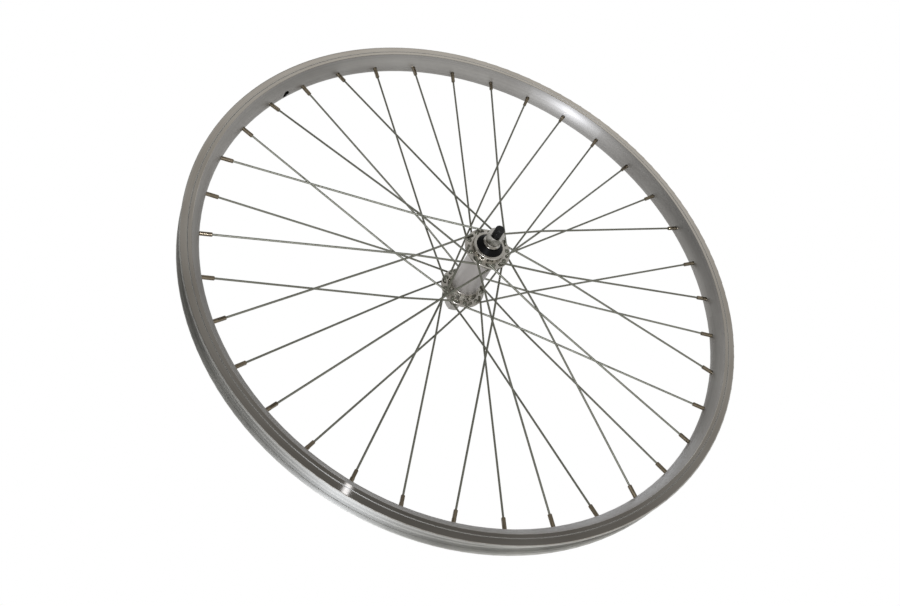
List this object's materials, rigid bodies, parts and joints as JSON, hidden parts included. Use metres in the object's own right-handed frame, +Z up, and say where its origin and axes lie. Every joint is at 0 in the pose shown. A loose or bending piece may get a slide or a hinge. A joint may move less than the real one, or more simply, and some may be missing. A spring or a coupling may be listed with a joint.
{
  "type": "bicycle wheel",
  "caption": "Spoked alloy front bicycle wheel without tyre: hooked double-wall rim, crossed wire spokes, flanged hub on cup-and-cone bearings and a nutted solid axle.",
  "frame": {"origin": "centre of the wheel, on the axle's line midway between the flanges", "axes": "+Y along the axle towards the left side, +Z up, +X forward"},
  "size_m": [0.5712, 0.138, 0.5712],
  "materials": {
    "rim_alloy": "satin extruded alloy with turned brake tracks",
    "spoke_steel": "drawn stainless wire",
    "nipple_brass": "nickel-plated brass, dulled",
    "hub_alloy": "polished flanges and collars, satin barrel",
    "bearing_steel": "ground bearing steel",
    "retainer_steel": "pressed sheet steel",
    "seal_rubber": "matt black moulded rubber",
    "plated_steel": "bright zinc-plated steel",
    "black_steel": "black oxide on steel"
  },
  "bodies": {
    "axle_set": {"axle": "black_steel", "axle_nut_left": "plated_steel", "axle_nut_right": "plated_steel", "cone_left": "bearing_steel", "cone_right": "bearing_steel", "dust_seal_left": "seal_rubber", "dust_seal_right": "seal_rubber", "lock_washer_left": "plated_steel", "lock_washer_right": "plated_steel", "locknut_left": "plated_steel", "locknut_right": "plated_steel"},
    "wheel": {"bearing_cup_left": "bearing_steel", "bearing_cup_right": "bearing_steel", "hub_shell": "hub_alloy", "nipples_left": "nipple_brass", "nipples_right": "nipple_brass", "rim": "rim_alloy", "spoke_left_01": "spoke_steel", "spoke_left_02": "spoke_steel", "spoke_left_03": "spoke_steel", "spoke_left_04": "spoke_steel", "spoke_left_05": "spoke_steel", "spoke_left_06": "spoke_steel", "spoke_left_07": "spoke_steel", "spoke_left_08": "spoke_steel", "spoke_left_09": "spoke_steel", "spoke_left_10": "spoke_steel", "spoke_left_11": "spoke_steel", "spoke_left_12": "spoke_steel", "spoke_left_13": "spoke_steel", "spoke_left_14": "spoke_steel", "spoke_left_15": "spoke_steel", "spoke_left_16": "spoke_steel", "spoke_left_17": "spoke_steel", "spoke_left_18": "spoke_steel", "spoke_right_01": "spoke_steel", "spoke_right_02": "spoke_steel", "spoke_right_03": "spoke_steel", "spoke_right_04": "spoke_steel", "spoke_right_05": "spoke_steel", "spoke_right_06": "spoke_steel", "spoke_right_07": "spoke_steel", "spoke_right_08": "spoke_steel", "spoke_right_09": "spoke_steel", "spoke_right_10": "spoke_steel", "spoke_right_11": "spoke_steel", "spoke_right_12": "spoke_steel", "spoke_right_13": "spoke_steel", "spoke_right_14": "spoke_steel", "spoke_right_15": "spoke_steel", "spoke_right_16": "spoke_steel", "spoke_right_17": "spoke_steel", "spoke_right_18": "spoke_steel"},
    "ball_set_left": {"bearing_balls_left": "bearing_steel", "ball_retainer_left": "retainer_steel"},
    "ball_set_right": {"bearing_balls_right": "bearing_steel", "ball_retainer_right": "retainer_steel"}
  },
  "joints": [
    {"name": "wheel_spin", "type": "hinge", "parent": "axle_set", "child": "wheel", "pos_m": [0, 0, 0], "axis": [0, 1, 0], "continuous": true},
    {"name": "ball_roll_left", "type": "hinge", "parent": "axle_set", "child": "ball_set_left", "pos_m": [0, 0, 0], "axis": [0, 1, 0], "continuous": true},
    {"name": "ball_roll_right", "type": "hinge", "parent": "axle_set", "child": "ball_set_right", "pos_m": [0, 0, 0], "axis": [0, 1, 0], "continuous": true}
  ],
  "couplings": [
    {"joint": "ball_roll_left", "follows": "wheel_spin", "ratio": 0.58503},
    {"joint": "ball_roll_right", "follows": "wheel_spin", "ratio": 0.58503}
  ]
}
